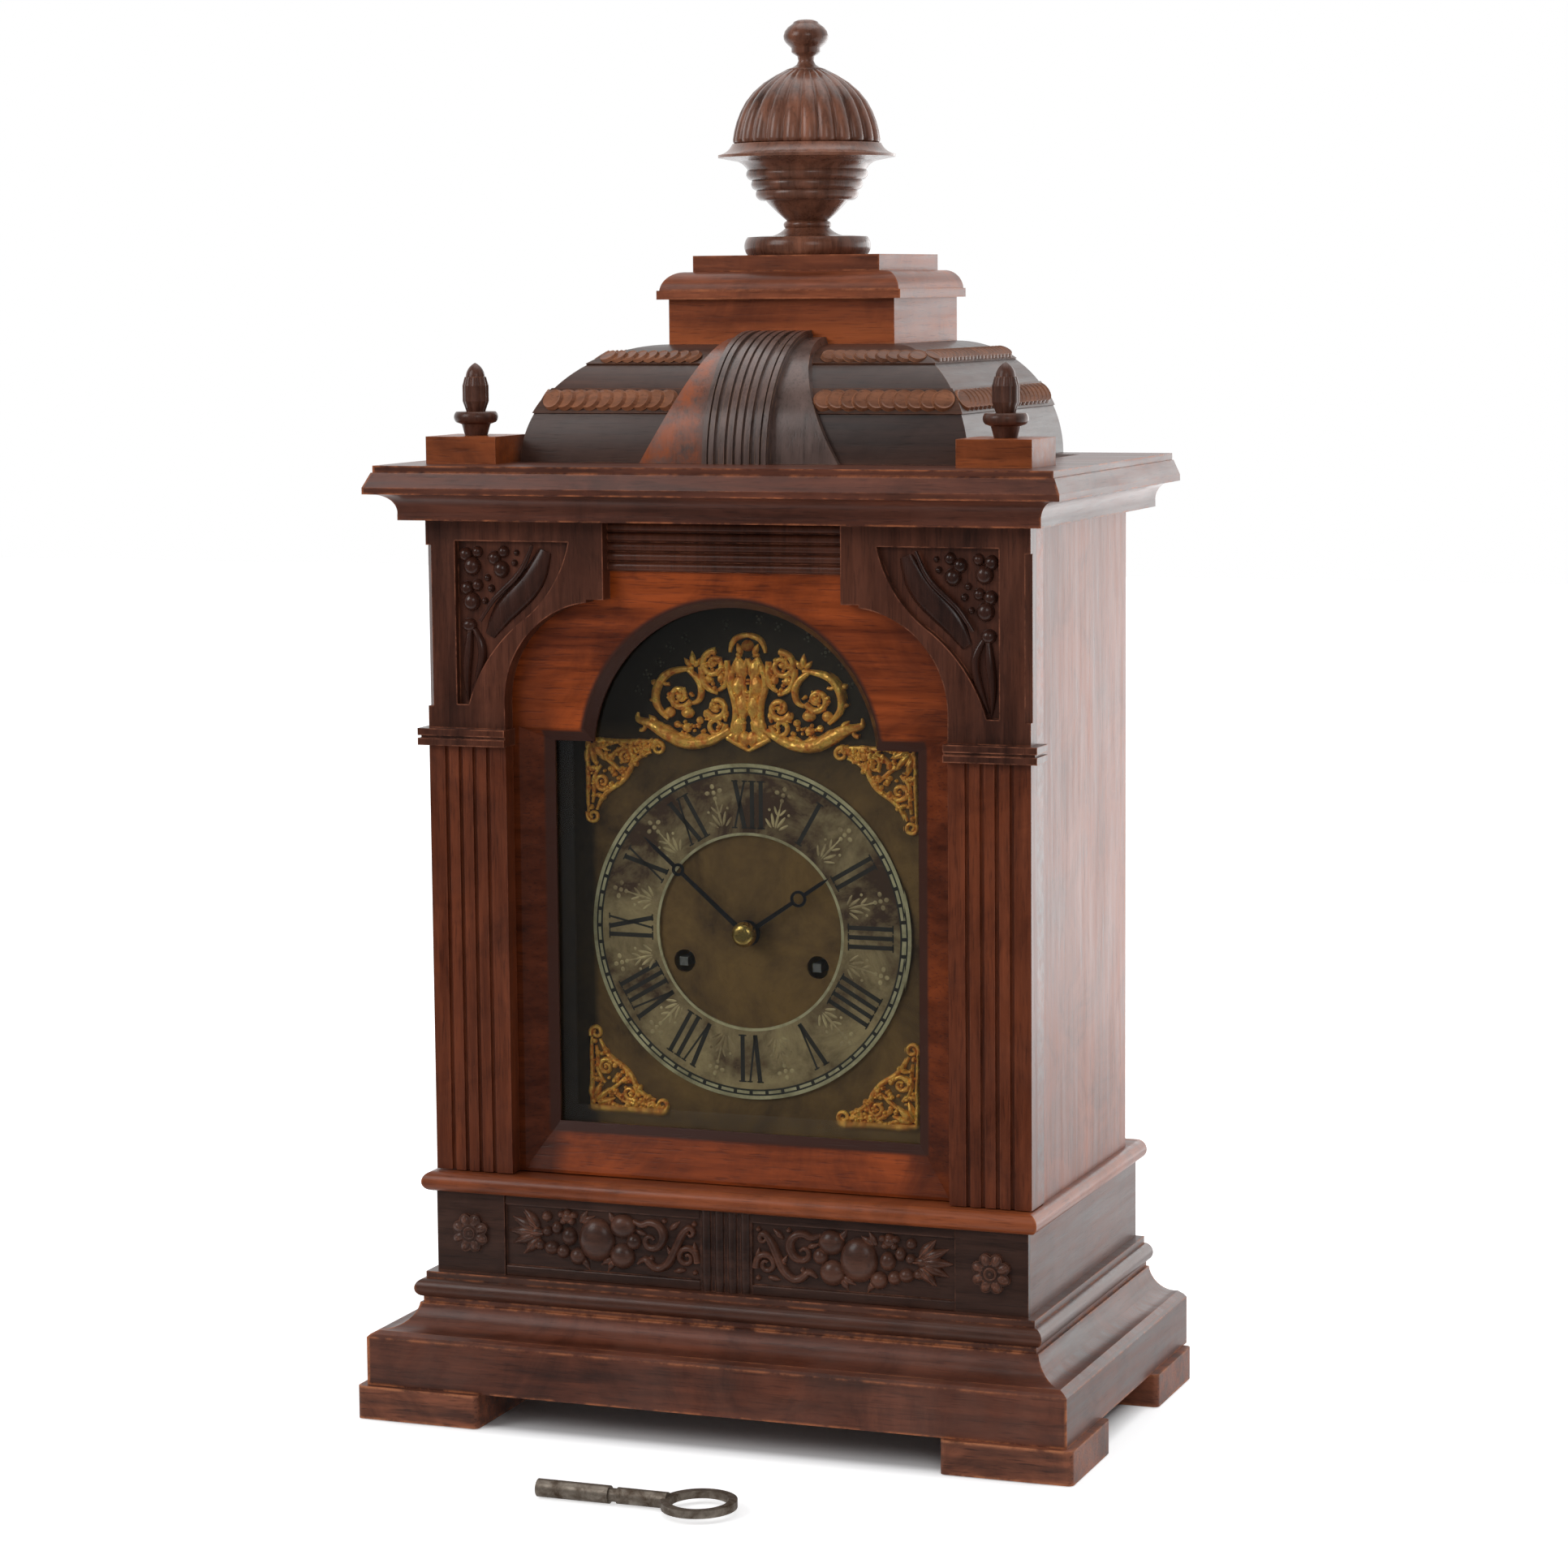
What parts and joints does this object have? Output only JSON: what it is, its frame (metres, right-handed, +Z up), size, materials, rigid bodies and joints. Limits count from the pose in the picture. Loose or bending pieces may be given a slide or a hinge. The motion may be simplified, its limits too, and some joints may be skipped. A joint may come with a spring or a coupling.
{
  "type": "bracket clock",
  "caption": "Arched-dial striking bracket clock in a carved walnut case with a domed top, opening doors and a loose winding key.",
  "frame": {"origin": "on the floor under the middle of the space that the clock and its key take up; the clock's plane of symmetry is X = 0", "axes": "+Z up, the dial faces -Y, +X to the right as seen from the front"},
  "size_m": [0.328, 0.2982, 0.6095],
  "materials": {
    "dark_walnut": "dark waxed walnut",
    "red_walnut": "red-brown polished walnut",
    "ebonised_wood": "blackened polished wood",
    "plain_wood": "unpolished inner board",
    "glass": "clear bevelled glass",
    "brass": "lacquered brass",
    "dial_brass": "dull matted brass",
    "gilt": "fire-gilt cast brass",
    "silvered_ring": "worn silvering",
    "steel": "bright steel",
    "blued_steel": "blued steel",
    "iron": "black cast block",
    "iron_key": "dark worn steel"
  },
  "bodies": {
    "case": {"feet": "dark_walnut", "plinth": "dark_walnut", "inner_boards": "plain_wood", "base_bead": "dark_walnut", "pedestal": "dark_walnut", "rosette_blocks": "dark_walnut", "frieze_tablet": "dark_walnut", "fruit_panels": "dark_walnut", "waist_board": "red_walnut", "side_panels": "red_walnut", "cornice": "dark_walnut", "corner_blocks": "red_walnut", "corner_finials": "dark_walnut", "dome": "ebonised_wood", "dome_bands": "ebonised_wood", "dome_strap": "ebonised_wood", "caddy_block": "red_walnut", "caddy_cap": "dark_walnut", "finial_urn": "dark_walnut", "finial_lid": "dark_walnut", "dial_plate": "dial_brass", "chapter_ring": "silvered_ring", "corner_ornaments": "gilt", "arch_ornament": "gilt", "front_plate": "brass", "back_plate": "brass", "pillars": "brass", "seat_board": "plain_wood", "gong": "iron", "back_cock": "brass"},
    "front_door": {"door_frame": "red_walnut", "door_glass": "glass", "pilasters": "red_walnut", "capitals": "dark_walnut", "spandrels": "red_walnut", "reeded_tablet": "dark_walnut", "front_door_pins": "steel"},
    "back_door": {"back_door": "red_walnut", "back_door_pins": "steel", "back_knob": "brass"},
    "minute_hand": {"centre_wheel": "brass", "minute_hand": "blued_steel", "hand_nut": "brass"},
    "hour_hand": {"hour_wheel": "brass", "hour_hand": "blued_steel"},
    "minute_wheel": {"minute_wheel": "brass"},
    "third_wheel": {"third_wheel": "brass"},
    "escape_wheel": {"escape_wheel": "brass"},
    "time_barrel": {"time_barrel": "brass"},
    "time_winding_arbor": {"time_winding_arbor": "steel"},
    "strike_winding_arbor": {"strike_winding_arbor": "steel"},
    "strike_barrel": {"strike_barrel": "brass"},
    "strike_wheel": {"strike_wheel": "brass"},
    "fly": {"fly": "brass"},
    "hammers": {"hammers": "steel"},
    "pendulum": {"pendulum_rod": "steel", "pendulum_bob": "brass"},
    "anchor": {"anchor": "steel"},
    "winding_key": {"winding_key": "iron_key"}
  },
  "joints": [
    {"name": "front_door_hinge", "type": "hinge", "parent": "case", "child": "front_door", "pos_m": [0.1343, -0.01415, 0.25], "axis": [0, 0, 1], "range_deg": [0, 105]},
    {"name": "back_door_hinge", "type": "hinge", "parent": "case", "child": "back_door", "pos_m": [-0.128, 0.13215, 0.25], "axis": [0, 0, 1], "range_deg": [0, 110]},
    {"name": "minute_hand_turn", "type": "hinge", "parent": "case", "child": "minute_hand", "pos_m": [0, 0, 0.215], "axis": [0, 1, 0], "continuous": true},
    {"name": "hour_hand_turn", "type": "hinge", "parent": "case", "child": "hour_hand", "pos_m": [0, 0, 0.215], "axis": [0, 1, 0], "continuous": true},
    {"name": "minute_wheel_turn", "type": "hinge", "parent": "case", "child": "minute_wheel", "pos_m": [0, 0, 0.2], "axis": [0, 1, 0], "continuous": true},
    {"name": "third_wheel_turn", "type": "hinge", "parent": "case", "child": "third_wheel", "pos_m": [-0.016, 0, 0.23447], "axis": [0, 1, 0], "continuous": true},
    {"name": "escape_wheel_turn", "type": "hinge", "parent": "case", "child": "escape_wheel", "pos_m": [0, 0, 0.24508], "axis": [0, 1, 0], "continuous": true},
    {"name": "time_barrel_turn", "type": "hinge", "parent": "case", "child": "time_barrel", "pos_m": [-0.031, 0, 0.2008], "axis": [0, 1, 0], "continuous": true},
    {"name": "time_winding", "type": "hinge", "parent": "case", "child": "time_winding_arbor", "pos_m": [-0.031, 0, 0.2008], "axis": [0, 1, 0], "continuous": true},
    {"name": "strike_winding", "type": "hinge", "parent": "case", "child": "strike_winding_arbor", "pos_m": [0.031, 0, 0.2008], "axis": [0, 1, 0], "continuous": true},
    {"name": "strike_barrel_turn", "type": "hinge", "parent": "case", "child": "strike_barrel", "pos_m": [0.031, 0, 0.2008], "axis": [0, 1, 0], "continuous": true},
    {"name": "strike_wheel_turn", "type": "hinge", "parent": "case", "child": "strike_wheel", "pos_m": [0.03809, 0, 0.23415], "axis": [0, 1, 0], "continuous": true},
    {"name": "fly_turn", "type": "hinge", "parent": "case", "child": "fly", "pos_m": [0.02998, 0, 0.25155], "axis": [0, 1, 0], "continuous": true},
    {"name": "hammer_lift", "type": "hinge", "parent": "case", "child": "hammers", "pos_m": [0.052, 0, 0.175], "axis": [0, 1, 0], "range_deg": [0, 14]},
    {"name": "pendulum_swing", "type": "hinge", "parent": "case", "child": "pendulum", "pos_m": [0, 0, 0.26608], "axis": [0, 1, 0], "range_deg": [-3.5, 3.5]},
    {"name": "anchor_rock", "type": "hinge", "parent": "case", "child": "anchor", "pos_m": [0, 0, 0.26608], "axis": [0, 1, 0], "range_deg": [-3.5, 3.5]},
    {"name": "key_lift", "type": "slide", "parent": "case", "child": "winding_key", "axis": [0, 0, 1], "range_m": [0, 0.06]}
  ],
  "couplings": [
    {"joint": "hour_hand_turn", "follows": "minute_hand_turn", "ratio": 0.083333},
    {"joint": "minute_wheel_turn", "follows": "minute_hand_turn", "ratio": -0.33333},
    {"joint": "third_wheel_turn", "follows": "minute_hand_turn", "ratio": -6},
    {"joint": "escape_wheel_turn", "follows": "minute_hand_turn", "ratio": 30},
    {"joint": "time_barrel_turn", "follows": "minute_hand_turn", "ratio": -0.16667},
    {"joint": "strike_wheel_turn", "follows": "strike_barrel_turn", "ratio": -6},
    {"joint": "fly_turn", "follows": "strike_barrel_turn", "ratio": 30},
    {"joint": "anchor_rock", "follows": "pendulum_swing", "ratio": 1}
  ]
}
